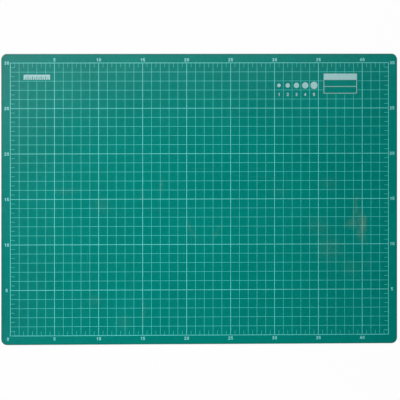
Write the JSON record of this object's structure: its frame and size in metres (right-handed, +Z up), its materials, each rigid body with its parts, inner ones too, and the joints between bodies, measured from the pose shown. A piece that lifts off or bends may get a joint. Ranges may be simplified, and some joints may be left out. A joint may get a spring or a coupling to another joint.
{
  "type": "cutting mat",
  "caption": "Flexible self-healing cutting mat of bonded PVC plies with rounded corners, printed with a centimetre grid and numerals for measured knife work on a desk.",
  "frame": {"origin": "middle of the underside, on the surface that the mat lies on", "axes": "+X right along the long side as the numerals read, +Y away from the user, +Z up out of the cutting face"},
  "size_m": [0.45, 0.32, 0.002],
  "materials": {
    "soft_pvc": "matte",
    "hard_pvc": "matte",
    "print_ink": "matte"
  },
  "bodies": {
    "root": {"lower_ply": "soft_pvc", "core_ply": "hard_pvc", "upper_ply": "soft_pvc", "print_frame_rule": "print_ink", "print_bold_lines": "print_ink", "print_fine_lines": "print_ink", "print_ticks_front": "print_ink", "print_ticks_back": "print_ink", "print_ticks_left": "print_ink", "print_ticks_right": "print_ink", "print_numerals_front": "print_ink", "print_numerals_back": "print_ink", "print_numerals_left": "print_ink", "print_numerals_right": "print_ink", "print_scale_bar": "print_ink", "print_name_panel": "print_ink", "print_dot_gauge": "print_ink"}
  },
  "joints": []
}
